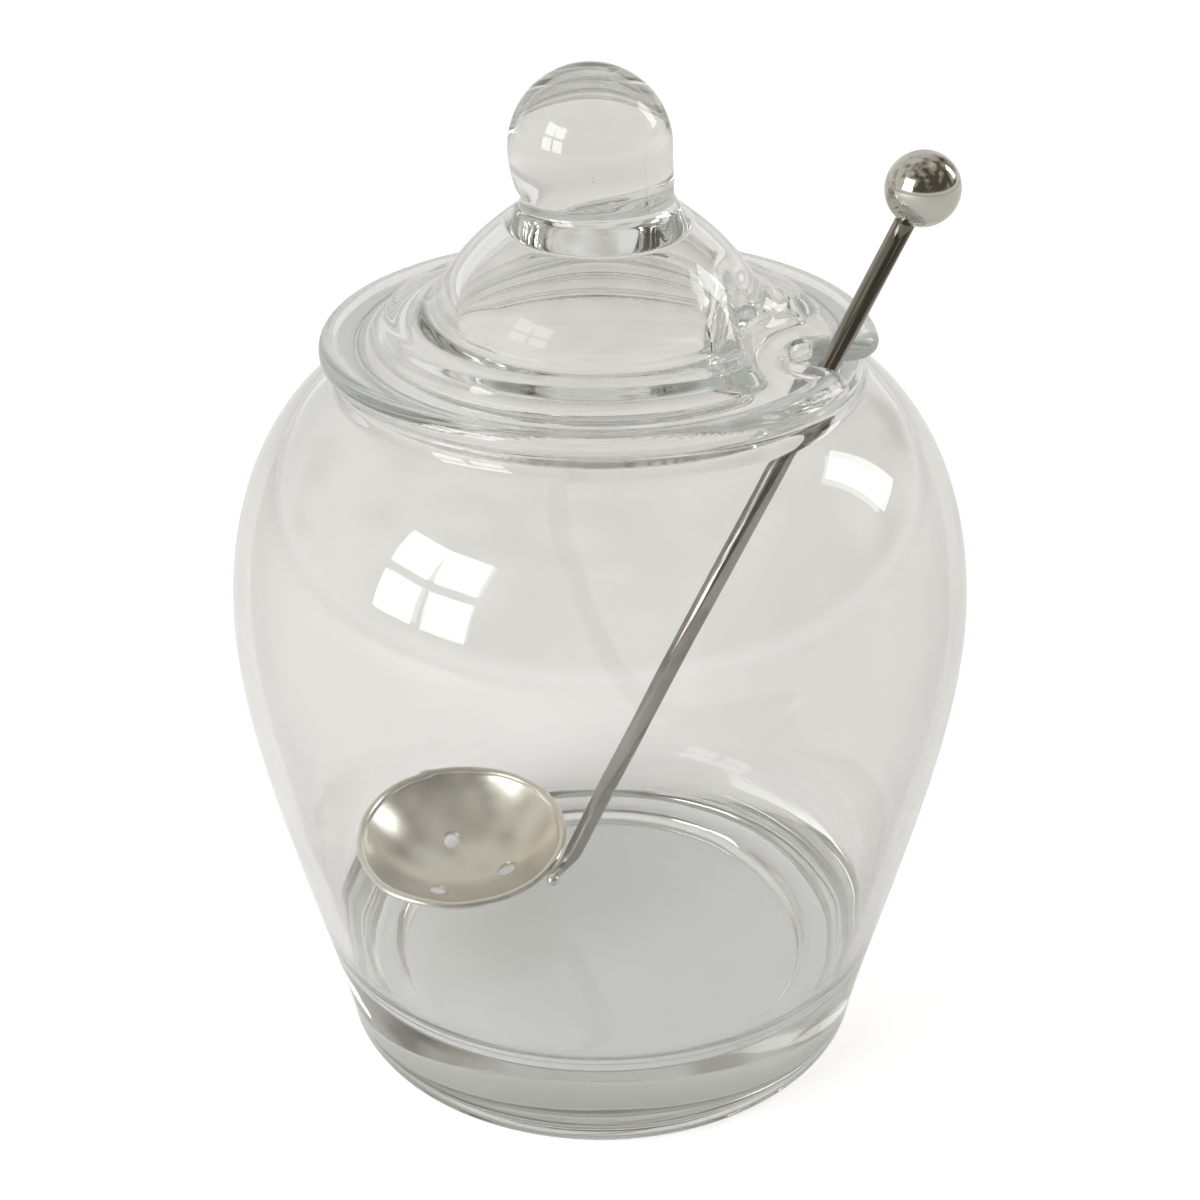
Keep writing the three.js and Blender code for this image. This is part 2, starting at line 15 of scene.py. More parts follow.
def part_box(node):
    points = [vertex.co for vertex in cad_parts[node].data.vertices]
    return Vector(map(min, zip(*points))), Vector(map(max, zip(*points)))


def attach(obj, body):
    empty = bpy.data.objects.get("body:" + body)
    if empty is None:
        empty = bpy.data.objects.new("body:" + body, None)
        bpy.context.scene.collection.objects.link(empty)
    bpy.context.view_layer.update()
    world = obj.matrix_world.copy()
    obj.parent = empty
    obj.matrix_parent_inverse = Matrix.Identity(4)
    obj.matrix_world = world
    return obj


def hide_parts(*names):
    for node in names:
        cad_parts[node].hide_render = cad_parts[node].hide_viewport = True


MM = 0.001

# Jar sizes
HEEL_RADIUS = 50.6
HEEL_ROUNDING = 2.4
PUNT_RADIUS = 41
PUNT_DEPTH = 0.8
FLARE_ANGLE = math.radians(9.86)
FLARE_REACH = 21.7
BELLY_RADIUS = 67
BELLY_HEIGHT = 87.3
BELLY_ROUNDING = 75
SHOULDER_EASE = 0.904
SHOULDER_SLOPE = math.radians(30.8)
MOUTH_RADIUS = 42
LIP_WIDTH = 4.1
LIP_HEIGHT = 3.3
LIP_FLAT = 1.6
SEAT_HEIGHT = 136.3
SEAT_GAP = 0.06
WALL = 3
FLOOR_THICKNESS = 16
FLOOR_RADIUS = 34
FLOOR_FILLET = 11
FLOOR_FILLET_EASE = 2.75
FLOOR_DRAFT = 1
THROAT_REACH = 1

# Lid sizes
FLANGE_RADIUS = 48.5
FLANGE_THICKNESS = 4.4
PLUG_CLEARANCE = 0.8
PLUG_WIDTH = 4
PLUG_DEPTH = 4
PLUG_ROUNDING = 0.8
LID_WALL = 3.8
STEP_FOOT_RADIUS = 40.2
STEP_WIDTH = 4.6
STEP_HEIGHT = 3.4
STEP_EASE = 0.44
DOME_FOOT_RADIUS = 29.1
DOME_FILLET = 2
DOME_HEIGHT = 22.1
DOME_LOWER_IN = 0.17
DOME_LOWER_UP = 0.43
DOME_UPPER_IN = 0.49
DOME_UPPER_UP = 0.68
HOLLOW_CROWN = 2
NECK_RADIUS = 12.8
NECK_FILLET = 1.2
KNOB_RADIUS = 13.85
KNOB_WAIST = 9.4
KNOB_FULLNESS = 0.7
KNOB_LEAN = 1.3

# Notch in the lid and the shelf round it
NOTCH_AZIMUTH = math.radians(-18.6)
NOTCH_WIDTH = 10.4
NOTCH_DEPTH = 13.7
LOBE_RADIUS = 6.5
SHELF_WIDTH = 5.2
SHELF_RADIUS = 23.7
SHELF_CORNER = 7
SHELF_DRAFT = 0.8

# Ladle sizes
BOWL_RADIUS = 20.4
BOWL_DEPTH = 9.5
BOWL_SHEET = 0.9
BOWL_BEAD = 0.65
DRAIN_COUNT = 3
DRAIN_RADIUS = 1.75
DRAIN_CIRCLE = 8.7
DRAIN_SHIFT = 0.8
DRAIN_AZIMUTH = math.radians(-7)
ROD_RADIUS = 1.75
ROD_LENGTH = 156
BALL_RADIUS = 6.15
SOCKET_DEPTH = 5
BLADE_WIDTH = 3.4
BLADE_THICKNESS = 3
BLADE_LENGTH = 9
BLADE_TAPER = 6
BEND_RISE = 4
TAB_THICKNESS = 1.8
TAB_WIDTH = 2.4
TAB_DROP = 0.5
TAB_START = math.radians(-34)
TAB_END = math.radians(-27)
ROD_AZIMUTH = math.radians(-20)
WELD_RADIUS = 1.3
WELD_FLATNESS = 0.9
SOCKET_CLEARANCE = 0.05
BOWL_AZIMUTH = math.radians(159.1)
BOWL_TILT = math.radians(4.2)
REST_GAP = 0.3

# Widths of the rounded joints between surfaces, and how far hidden ends run on
DOME_BACK_BLEND = 1.2
PLUG_BLEND = 0.8
KNOB_BLEND = 2.2
HOLLOW_BACK_BLEND = 2
HOLLOW_BLEND = 0.8
BEAD_BLEND = 0.7
DRAIN_BLEND = 0.3
HOLLOW_OVERRUN = 3
KNOB_ROOT = 2

# Fineness
ROUND_STEPS = 288
CURVE_STEPS = 48
CORNER_STEPS = 14
HANDLE_SIDES = 40
FLOOR_SIDES = 96

# Surfaces of distances: their cells, the margins round them, and how vertices settle
LID_CELL = 0.5
LID_MARGIN = 1
BOWL_CELL = 0.25
LADLE_MARGIN = 0.5
PROFILE_CELL = 0.2
PROFILE_MARGIN = 12
TABLE_END = 1.001
NEWTON_STEPS = 4
SLOPE_PARTS = 20
LEAST_SLOPE = 0.1
NEARLY_ZERO = 1e-6

# Glass: its colours, waves and edges greyed by painted shade, and the painted glow that a caught ray ends in
GLASS_IOR = 1.5
GLASS_DARK = (0.90, 0.90, 0.895, 1)
GLASS_LIGHT = (0.935, 0.935, 0.93, 1)
GLASS_PATCHES = 18
# painted shade: the glass's colour at grazing angles, greyer to give its edges dark outlines
GLASS_EDGE = (0.62, 0.625, 0.63, 1)
GLASS_EDGE_BLEND = 0.35
GLASS_EDGE_START = 0.35
GLASS_EDGE_END = 0.85
GLASS_WAVES = 45
GLASS_WAVE_DETAIL = 1
GLASS_WAVE_HEIGHT = 0.00012
GLASS_DEPTH_COLOUR = (0.80, 0.808, 0.79, 1)
GLASS_DEPTH_DENSITY = 28
# painted glow: the depth past which a ray in the glass ends in light that the glass gives out, and that
# light's colour
CAUGHT_DEPTH = 9
CAUGHT_LIGHT = (0.72, 0.73, 0.72, 1)
SHADOW_FACING = (0.88, 0.88, 0.88, 1)
SHADOW_EDGE = (0.25, 0.25, 0.26, 1)

# Steel: satin bowl with warm patches that are partly painted reflection, drawn rod darkened by painted shade,
# and polished ball
# partly painted reflection: the satin steel's patches vary at random, and their warm beige stands in for a
# warm reflection on the bowl
SATIN_WARM_PAINTED_REFLECTION = (0.72, 0.665, 0.555, 1)
SATIN_LIGHT = (0.76, 0.75, 0.70, 1)
SATIN_PATCHES = 45
SATIN_ROUGHNESS = (0.2, 0.28)
SATIN_GRAIN = 420
SATIN_RELIEF = 0.0000006
# painted shade: the rod's steel is darker than the ball's, standing in for the dark surroundings that the
# real rod mirrors
ROD_PAINTED_SHADE_DARK = (0.26, 0.25, 0.225, 1)
ROD_PAINTED_SHADE_LIGHT = (0.38, 0.37, 0.34, 1)
ROD_ROUGHNESS = (0.08, 0.16)
ROD_STRETCH = (1, 1, 0.1)
BALL_DARK = (0.44, 0.425, 0.385, 1)
BALL_LIGHT = (0.52, 0.51, 0.47, 1)
BALL_ROUGHNESS = (0.07, 0.12)
POLISHED_PATCHES = 60
POLISHED_GRAIN = 500
POLISHED_RELIEF = 0.000004

# Shared by the materials
WHITE = (1, 1, 1, 1)
PATTERN_DETAIL = 3
RAMP_START = 0.35
RAMP_END = 0.65

# Floor: its colour, and its glow to the eye, which keeps the shadow
FLOOR_DARK = (0.86, 0.86, 0.865, 1)
FLOOR_LIGHT = (0.87, 0.87, 0.872, 1)
FLOOR_PATCHES = 3
FLOOR_GLOW = 0.26
FLOOR_WHITE = 0.3
FLOOR_REACH = 4.0
FLOOR_DROP = 0.0002

# Room: what the object mirrors above the horizon
ROOM_LIGHT_SIDE = (-0.45, 0.85, 0.1)
ROOM_SIDE_SHARE = 0.26
ROOM_NOISE = 2.6
ROOM_DETAIL = 2
ROOM_DARK = (0.13, 0.115, 0.09, 1)
ROOM_WARM = (0.50, 0.46, 0.385, 1)
ROOM_LIGHT = (0.88, 0.88, 0.86, 1)
ROOM_START = 0.38
ROOM_END = 0.66
HORIZON_LOW = 0.02
HORIZON_HIGH = 0.1

# Windows: a grid of square panes, and a tall one at the side
PANES_ACROSS = 2
PANES_UP = 2
PANE_SIDE = 0.37
PANE_STEP = 17.5
WINDOW_AZIMUTH = -64
WINDOW_ELEVATION = 14
WINDOW_DISTANCE = 1.5
WINDOW_RADIANCE = 7
SIDE_AZIMUTH = 112
SIDE_ELEVATION = 26
SIDE_DISTANCE = 1.6
SIDE_WIDTH = 0.35
SIDE_HEIGHT = 0.7
SIDE_RADIANCE = 4.5

# How far light is followed
MOST_BOUNCES = 32
MOST_CLEAR_BOUNCES = 24
MOST_GLOSSY_BOUNCES = 16
BRIGHTEST_BOUNCE = 3

# Camera: place, downward pitch, roll and lens
CAMERA_PLACE = Vector((0, -350, 274.69)) * MM
CAMERA_PITCH = math.radians(28.26)
CAMERA_ROLL = math.radians(-0.252)
CAMERA_SENSOR = 36
CAMERA_LENS = 64.323
CAMERA_NEAR = 0.01

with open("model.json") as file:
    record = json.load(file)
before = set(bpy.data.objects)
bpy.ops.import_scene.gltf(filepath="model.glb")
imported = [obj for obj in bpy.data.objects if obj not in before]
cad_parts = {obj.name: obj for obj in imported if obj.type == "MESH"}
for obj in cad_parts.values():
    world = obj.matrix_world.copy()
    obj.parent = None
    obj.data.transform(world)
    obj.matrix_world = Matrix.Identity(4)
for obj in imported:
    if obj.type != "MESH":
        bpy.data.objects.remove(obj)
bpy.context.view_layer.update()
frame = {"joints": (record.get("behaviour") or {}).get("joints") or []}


def bezier(a, b, c, d, steps=CURVE_STEPS, aside=0):
    """Points of a cubic curve with four control points, moved aside to its left."""
    t = np.linspace(0, 1, steps + 1)[:, None]
    a, b, c, d = (np.array(p, float) for p in (a, b, c, d))
    points = (1 - t) ** 3 * a + 3 * (1 - t) ** 2 * t * b + 3 * (1 - t) * t ** 2 * c + t ** 3 * d
    if not aside:
        return points
    way = (1 - t) ** 2 * (b - a) + 2 * (1 - t) * t * (c - b) + t ** 2 * (d - c)
    way /= np.linalg.norm(way, axis=1)[:, None]
    return points + aside * np.column_stack([-way[:, 1], way[:, 0]])


def arc(x, y, radius, start, end, steps=CORNER_STEPS):
    """Points of an arc about (x, y), both ends included."""
    angle = np.linspace(start, end, steps + 1)
    return np.column_stack([x + radius * np.cos(angle), y + radius * np.sin(angle)])


def add_mesh(name, vertices, faces):
    """A smooth mesh object from vertices in millimetres."""
    mesh = bpy.data.meshes.new(name)
    vertices = np.asarray(vertices, float) * MM
    mesh.from_pydata(vertices.tolist(), [], faces if isinstance(faces, list) else faces.tolist())
    mesh.validate()
    mesh.shade_smooth()
    piece = bpy.data.objects.new(name, mesh)
    bpy.context.scene.collection.objects.link(piece)
    return piece


def bands(levels, sides):
    """Four-sided faces between rings of vertices that follow each other."""
    faces = []
    for level in range(levels - 1):
        low, high = level * sides, (level + 1) * sides
        for i in range(sides):
            j = (i + 1) % sides
            faces.append([low + i, low + j, high + j, high + i])
    return faces


def revolve(profile, steps=ROUND_STEPS):
    """Vertices and faces of a profile of (radius, height) points turned about Z. The
    profile runs from the axis up the outside and back to the axis."""
    ring = np.asarray(profile, float)[1:-1]
    angle = np.linspace(0, 2 * math.pi, steps, endpoint=False)
    x = ring[:, :1] * np.cos(angle)
    y = ring[:, :1] * np.sin(angle)
    z = np.repeat(ring[:, 1:], steps, axis=1)
    vertices = np.stack([x, y, z], axis=-1).reshape(-1, 3)
    vertices = np.vstack([vertices, [0, 0, profile[0][1]], [0, 0, profile[-1][1]]])
    low, high = len(vertices) - 2, len(vertices) - 1
    faces = bands(len(ring), steps)
    top = (len(ring) - 1) * steps
    for i in range(steps):
        j = (i + 1) % steps
        faces.append([low, j, i])
        faces.append([high, top + i, top + j])
    return vertices, faces


def surface_net(distance, low, high, cell):
    """Vertices and four-sided faces of the surface where distance(x, y, z) is zero."""
    axes = [np.arange(a, b + cell, cell) for a, b in zip(low, high)]
    x, y, z = np.meshgrid(*axes, indexing="ij", sparse=True)
    value = distance(x, y, z) + np.zeros((len(axes[0]), len(axes[1]), len(axes[2])))
    inside = value < 0
    count = tuple(n - 1 for n in value.shape)
    total = np.zeros(count + (3,), np.float32)
    hits = np.zeros(count, np.int16)
    for axis in range(3):
        others = [k for k in range(3) if k != axis]
        for corner in range(4):
            start = [0, 0, 0]
            start[others[0]], start[others[1]] = corner & 1, corner >> 1
            near = tuple(slice(s, s + n) for s, n in zip(start, count))
            start[axis] = 1
            far = tuple(slice(s, s + n) for s, n in zip(start, count))
            crossed = inside[near] != inside[far]
            a, b = value[near][crossed], value[far][crossed]
            point = np.zeros((len(a), 3), np.float32)
            point[:, axis] = a / (a - b)
            point[:, others[0]], point[:, others[1]] = corner & 1, corner >> 1
            total[crossed] += point
            hits[crossed] += 1
    mixed = hits > 0
    index = np.full(count, -1, np.int64)
    index[mixed] = np.arange(mixed.sum())
    place = np.argwhere(mixed) + total[mixed] / hits[mixed][:, None]
    vertices = np.array([a[0] for a in axes]) + place * cell
    faces = []
    for axis in range(3):
        p, q = (axis + 1) % 3, (axis + 2) % 3
        low_end = np.moveaxis(inside, (axis, p, q), (0, 1, 2))
        cells = np.moveaxis(index, (axis, p, q), (0, 1, 2))
        edge = low_end[:-1, 1:-1, 1:-1] != low_end[1:, 1:-1, 1:-1]
        i, j, k = np.nonzero(edge)
        corners = [cells[i, j, k], cells[i, j + 1, k], cells[i, j + 1, k + 1], cells[i, j, k + 1]]
        quad = np.column_stack(corners)
        leaving = low_end[:-1, 1:-1, 1:-1][i, j, k]
        quad[~leaving] = quad[~leaving][:, ::-1]
        faces.append(quad)
    return settle(distance, vertices, cell), np.vstack(faces)


def slope_at(distance, vertices, step):
    """The distance's slope at each vertex."""
    x, y, z = vertices.T
    return np.column_stack([
        distance(x + step, y, z) - distance(x - step, y, z),
        distance(x, y + step, z) - distance(x, y - step, z),
        distance(x, y, z + step) - distance(x, y, z - step),
    ]) / (2 * step)


def settle(distance, vertices, cell):
    """Moves vertices onto the surface along the distance's slope."""
    for _ in range(NEWTON_STEPS):
        slope = slope_at(distance, vertices, cell / SLOPE_PARTS)
        length = np.maximum((slope ** 2).sum(axis=1), LEAST_SLOPE)
        move = slope * (distance(*vertices.T) / length)[:, None]
        vertices = vertices - np.clip(move, -cell / 2, cell / 2)
    return vertices


def net_piece(name, distance, low, high, cell):
    """A piece from a surface net, shaded by the distance's own slope."""
    vertices, faces = surface_net(distance, low, high, cell)
    piece = add_mesh(name, vertices, faces)
    slope = slope_at(distance, vertices, cell / SLOPE_PARTS)
    slope /= np.maximum(np.linalg.norm(slope, axis=1), NEARLY_ZERO)[:, None]
    piece.data.normals_split_custom_set_from_vertices(slope.tolist())
    return piece


def profile_distance(outline):
    """A function (radius, height) that gives the signed distance to a closed outline."""
    outline = np.asarray(outline, float)
    low = outline.min(axis=0) - PROFILE_MARGIN
    low[0] = 0
    high = outline.max(axis=0) + PROFILE_MARGIN
    r = np.arange(low[0], high[0], PROFILE_CELL)
    h = np.arange(low[1], high[1], PROFILE_CELL)
    rr, hh = np.meshgrid(r, h, indexing="ij")
    nearest = np.full(rr.shape, np.inf)
    odd = np.zeros(rr.shape, bool)
    for (ax, ay), (bx, by) in zip(outline, np.roll(outline, -1, axis=0)):
        dx, dy = bx - ax, by - ay
        share = np.clip(((rr - ax) * dx + (hh - ay) * dy) / max(dx * dx + dy * dy, NEARLY_ZERO ** 2), 0, 1)
        apart = (rr - ax - share * dx) ** 2 + (hh - ay - share * dy) ** 2
        if max(ax, bx) > NEARLY_ZERO:
            nearest = np.minimum(nearest, apart)
        if ay != by:
            odd ^= ((ay > hh) != (by > hh)) & (rr < dx * (hh - ay) / dy + ax)
    table = np.where(odd, -1, 1) * np.sqrt(nearest)

    def look_up(radius, height):
        """Reads between four places of the table, short of its last row and column."""
        i = np.clip((radius - low[0]) / PROFILE_CELL, 0, len(r) - TABLE_END)
        j = np.clip((height - low[1]) / PROFILE_CELL, 0, len(h) - TABLE_END)
        i0, j0 = i.astype(int), j.astype(int)
        fi, fj = i - i0, j - j0
        return (
            table[i0, j0] * (1 - fi) * (1 - fj) + table[i0 + 1, j0] * fi * (1 - fj)
            + table[i0, j0 + 1] * (1 - fi) * fj + table[i0 + 1, j0 + 1] * fi * fj
        )

    return look_up


def blend_min(a, b, width):
    """The lesser of two distances, with a rounded joint."""
    near = np.maximum(width - np.abs(a - b), 0) / width
    return np.minimum(a, b) - near ** 2 * width / 4


def blend_max(a, b, width):
    """The greater of two distances, with a rounded joint."""
    return -blend_min(-a, -b, width)


# Jar

lip_outer = MOUTH_RADIUS + LIP_WIDTH
lip_foot = SEAT_HEIGHT - LIP_HEIGHT
lip_rounding = (LIP_WIDTH - LIP_FLAT) / 2
lip_top = SEAT_HEIGHT - SEAT_GAP


def belly_handle(radius):
    """Length of a curve's handle at the belly that gives it the belly's own rounding,
    when the curve's next control point is at this radius."""
    return math.sqrt(2 / 3 * (BELLY_RADIUS - radius) * BELLY_ROUNDING)


def make_jar():
    """The blown jar: outside, lip, throat, inside wall and the thick floor's fillet."""
    flare = HEEL_RADIUS + FLARE_REACH * math.sin(FLARE_ANGLE)
    slope = lip_outer + (BELLY_RADIUS - lip_outer) * SHOULDER_EASE
    belly = (BELLY_RADIUS, BELLY_HEIGHT)
    flank = (
        (HEEL_RADIUS, HEEL_ROUNDING), (flare, HEEL_ROUNDING + FLARE_REACH * math.cos(FLARE_ANGLE)),
        (BELLY_RADIUS, BELLY_HEIGHT - belly_handle(flare)), belly,
    )
    shoulder = (
        belly, (BELLY_RADIUS, BELLY_HEIGHT + belly_handle(slope)),
        (slope, lip_foot - (slope - lip_outer) * math.tan(SHOULDER_SLOPE)), (lip_outer, lip_foot),
    )
    fillet_top = FLOOR_THICKNESS + FLOOR_FILLET
    inner = np.vstack([bezier(*flank, aside=WALL), bezier(*shoulder, aside=WALL)[1:]])
    inner_foot = (np.interp(fillet_top, inner[:, 1], inner[:, 0]), fillet_top)
    inner = np.vstack([inner_foot, inner[inner[:, 1] > fillet_top]])
    foot, top = inner[0], inner[-1]
    punt = bezier((0, PUNT_DEPTH), (PUNT_RADIUS / 2, PUNT_DEPTH), (PUNT_RADIUS, PUNT_DEPTH), (PUNT_RADIUS, 0))
    heel = arc(HEEL_RADIUS - HEEL_ROUNDING, HEEL_ROUNDING, HEEL_ROUNDING, -math.pi / 2, 0)
    edge = lip_top - lip_rounding
    outside_lip = arc(lip_outer - lip_rounding, edge, lip_rounding, 0, math.pi / 2)
    inside_lip = arc(MOUTH_RADIUS + lip_rounding, edge, lip_rounding, math.pi / 2, math.pi)
    throat = bezier(
        (MOUTH_RADIUS, lip_foot + THROAT_REACH / 2), (MOUTH_RADIUS, lip_foot - THROAT_REACH),
        (top[0] - THROAT_REACH, top[1] + THROAT_REACH / 2), top, CORNER_STEPS,
    )
    fillet = bezier(
        foot, (foot[0] - FLOOR_DRAFT, FLOOR_THICKNESS + FLOOR_FILLET_EASE),
        (FLOOR_RADIUS + FLOOR_FILLET, FLOOR_THICKNESS), (FLOOR_RADIUS, FLOOR_THICKNESS),
    )
    across = np.linspace(FLOOR_RADIUS, 0, CORNER_STEPS)
    floor = np.column_stack([across, np.full(CORNER_STEPS, FLOOR_THICKNESS)])
    profile = np.vstack([
        punt, heel, bezier(*flank)[1:], bezier(*shoulder)[1:], outside_lip, inside_lip, throat,
        inner[:-1][::-1], fillet[1:], floor[1:],
    ])
    return add_mesh("jar", *revolve(profile))


# Lid

flange_top = SEAT_HEIGHT + FLANGE_THICKNESS
flange_middle = SEAT_HEIGHT + FLANGE_THICKNESS / 2
plug_foot = SEAT_HEIGHT - PLUG_DEPTH
plug_radius = MOUTH_RADIUS - PLUG_CLEARANCE
hollow_radius = plug_radius - PLUG_WIDTH
step_top = flange_top + STEP_HEIGHT
step_top_radius = STEP_FOOT_RADIUS - STEP_WIDTH
neck_height = flange_top + DOME_HEIGHT
hollow_top = neck_height - LID_WALL

dome_span = DOME_FOOT_RADIUS - NECK_RADIUS
dome_rise = neck_height - step_top
dome_controls = (
    (DOME_FOOT_RADIUS, step_top),
    (DOME_FOOT_RADIUS - dome_span * DOME_LOWER_IN, step_top + dome_rise * DOME_LOWER_UP),
    (DOME_FOOT_RADIUS - dome_span * DOME_UPPER_IN, step_top + dome_rise * DOME_UPPER_UP),
    (NECK_RADIUS, neck_height),
)


def dome_outline():
    """The bell from the middle of the flange up to the neck."""
    return np.vstack([
        (0, flange_middle), (DOME_FOOT_RADIUS, flange_middle), bezier(*dome_controls), (0, neck_height),
    ])


def hollow_outline():
    """The air under the lid: inside the plug ring, the step and the dome."""
    below = plug_foot - HOLLOW_OVERRUN
    inner_step_top = step_top - LID_WALL
    dome = bezier(*dome_controls, aside=LID_WALL)
    dome = dome[dome[:, 1] < hollow_top - HOLLOW_CROWN]
    step_end = (step_top_radius - LID_WALL, inner_step_top)
    step = bezier(
        (hollow_radius, plug_foot + PLUG_ROUNDING), (hollow_radius, SEAT_HEIGHT),
        (step_top_radius, inner_step_top), step_end,
    )
    foot = bezier(step_end, (dome[0][0], inner_step_top), (dome[0][0], inner_step_top), dome[0], CORNER_STEPS)
    crown = bezier(dome[-1], (dome[-1][0] / 2, hollow_top), (dome[-1][0] / 2, hollow_top), (0, hollow_top))
    return np.vstack([
        (0, below), (hollow_radius, below), step, foot[1:], dome[1:], crown[1:],
    ])


def knob_outline():
    """The knob, from a root sunk in the neck up to its crown."""
    middle = neck_height + KNOB_WAIST
    flank = bezier(
        (NECK_RADIUS, neck_height), (NECK_RADIUS, neck_height + NECK_FILLET),
        (KNOB_RADIUS, middle - KNOB_WAIST * KNOB_FULLNESS), (KNOB_RADIUS, middle),
    )
    crown = arc(0, middle, KNOB_RADIUS, 0, math.pi / 2, CURVE_STEPS)
    root = neck_height - KNOB_ROOT
    return np.vstack([(0, root), (NECK_RADIUS - KNOB_ROOT, root), flank, crown[1:]])


class Pocket:
    """A round end about a centre on u, with a rounded corner on each side that meets an
    edge about the lid's axis."""

    def __init__(self, centre, radius, corner, edge):
        self.centre, self.radius, self.corner, self.edge = centre, radius, corner, edge
        out = edge - corner
        self.u = (out ** 2 - (radius + corner) ** 2 + centre ** 2) / (2 * centre)
        self.v = math.sqrt(out ** 2 - self.u ** 2)

    def end(self, u, v):
        """How far a point is outside the round end."""
        return np.hypot(u - self.centre, v) - self.radius

    def depth(self, u, v):
        """How far a point is inside the glass round the pocket."""
        v = np.abs(v)
        plain = np.minimum(self.edge - np.hypot(u, v), self.end(u, v))
        du, dv = u - self.u, v - self.v
        beyond_edge = self.u * dv - self.v * du < 0
        beyond_end = -du * self.v - dv * (self.centre - self.u) < 0
        return np.where(beyond_edge & beyond_end, self.corner - np.hypot(du, dv), plain)


notch_inner = FLANGE_RADIUS - NOTCH_DEPTH
notch = Pocket(notch_inner + NOTCH_WIDTH / 2, NOTCH_WIDTH / 2, LOBE_RADIUS, FLANGE_RADIUS)
shelf = Pocket(notch_inner - SHELF_WIDTH + SHELF_RADIUS, SHELF_RADIUS, SHELF_CORNER, STEP_FOOT_RADIUS)


def make_lid():
    """The pressed lid and its fused knob, as one glass surface."""
    dome_at = profile_distance(dome_outline())
    hollow_at = profile_distance(hollow_outline())
    knob_at = profile_distance(knob_outline())
    step_curve = bezier((0, 0), (STEP_EASE, 0), (STEP_EASE, 1), (1, 1))
    steepest = math.hypot(STEP_WIDTH, 2 * STEP_HEIGHT) / STEP_WIDTH

    def distance(x, y, z):
        r = np.hypot(x, y)
        u = x * math.cos(NOTCH_AZIMUTH) + y * math.sin(NOTCH_AZIMUTH)
        v = y * math.cos(NOTCH_AZIMUTH) - x * math.sin(NOTCH_AZIMUTH)
        plan = notch.depth(u, v)
        half = FLANGE_THICKNESS / 2
        plate = np.hypot(np.maximum(half - plan, 0), z - flange_middle) - half
        inset = shelf.depth(u, v)
        height = flange_top + STEP_HEIGHT * np.interp(inset / STEP_WIDTH, step_curve[:, 0], step_curve[:, 1])
        mound = np.maximum((z - height) / steepest, np.maximum(flange_middle - z, -inset - STEP_WIDTH / 4))
        plug = np.maximum(r - plug_radius, half - plan) + PLUG_ROUNDING
        sole = plug_foot - z + PLUG_ROUNDING
        plug = np.hypot(np.maximum(plug, 0), np.maximum(sole, 0)) + np.minimum(np.maximum(plug, sole), 0)
        plug = np.maximum(plug - PLUG_ROUNDING, z - flange_middle)
        end = shelf.end(u, v)
        rise = np.clip((z - step_top) / dome_rise, 0, 1)
        dome = blend_max(dome_at(r, z), STEP_WIDTH + SHELF_DRAFT * rise - end, DOME_BACK_BLEND)
        lean = KNOB_LEAN * np.sin(np.clip((z - neck_height) / KNOB_WAIST, 0, 1) * math.pi / 2)
        knob = knob_at(np.hypot(x + lean, y), z + 0 * r)
        body = np.minimum(plate, mound)
        body = blend_min(body, plug, PLUG_BLEND)
        body = blend_min(body, dome, 2 * DOME_FILLET)
        body = blend_min(body, knob, KNOB_BLEND)
        lift = np.clip((z - SEAT_HEIGHT) / STEP_HEIGHT, 0, 1)
        backing = LID_WALL + STEP_WIDTH * lift - end
        hollow = blend_max(hollow_at(r, z + 0 * r), backing / steepest, HOLLOW_BACK_BLEND)
        return blend_max(body, -hollow, HOLLOW_BLEND)

    reach = FLANGE_RADIUS + LID_MARGIN
    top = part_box("lid_knob")[1].z / MM + LID_MARGIN
    low = (-reach, -reach, plug_foot - LID_MARGIN)
    return add_mesh("lid", *surface_net(distance, low, (reach, reach, top), LID_CELL))


# Ladle: its own frame has the origin at the middle of the bowl's rim and +Z up its axis

sphere_inside = (BOWL_RADIUS ** 2 + BOWL_DEPTH ** 2) / (2 * BOWL_DEPTH)
sphere_outside = sphere_inside + BOWL_SHEET
sphere_height = sphere_inside - BOWL_DEPTH
rim_outside = BOWL_RADIUS + 2 * BOWL_BEAD


def ladle_frame():
    """The bowl's own frame in the jar, found from the CAD bowl's box."""
    low, high = (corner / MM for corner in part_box("ladle_bowl"))
    x = (low.x + high.x) / 2
    y = x * math.tan(BOWL_AZIMUTH)
    z = low.z + sphere_outside - sphere_height * math.cos(BOWL_TILT)
    axis = Vector((0, -math.sin(BOWL_TILT), math.cos(BOWL_TILT)))
    turn = Vector((0, 0, 1)).rotation_difference(axis)
    return Matrix.Translation((x, y, z)) @ turn.to_matrix().to_4x4()


ladle_place = ladle_frame()
lift_axis = Vector(next(j for j in frame["joints"] if j["name"] == "ladle_lift")["axis"])
rod_direction = np.array(ladle_place.to_3x3().inverted() @ lift_axis)


def put(piece, place=ladle_place):
    """Moves a mesh from its own frame, which is the bowl's by default, into the jar."""
    piece.data.transform(Matrix.Scale(MM, 4) @ place @ Matrix.Scale(1 / MM, 4))
    return piece


def smooth(share):
    """A share from 0 to 1, eased at both ends."""
    return share * share * (3 - 2 * share)


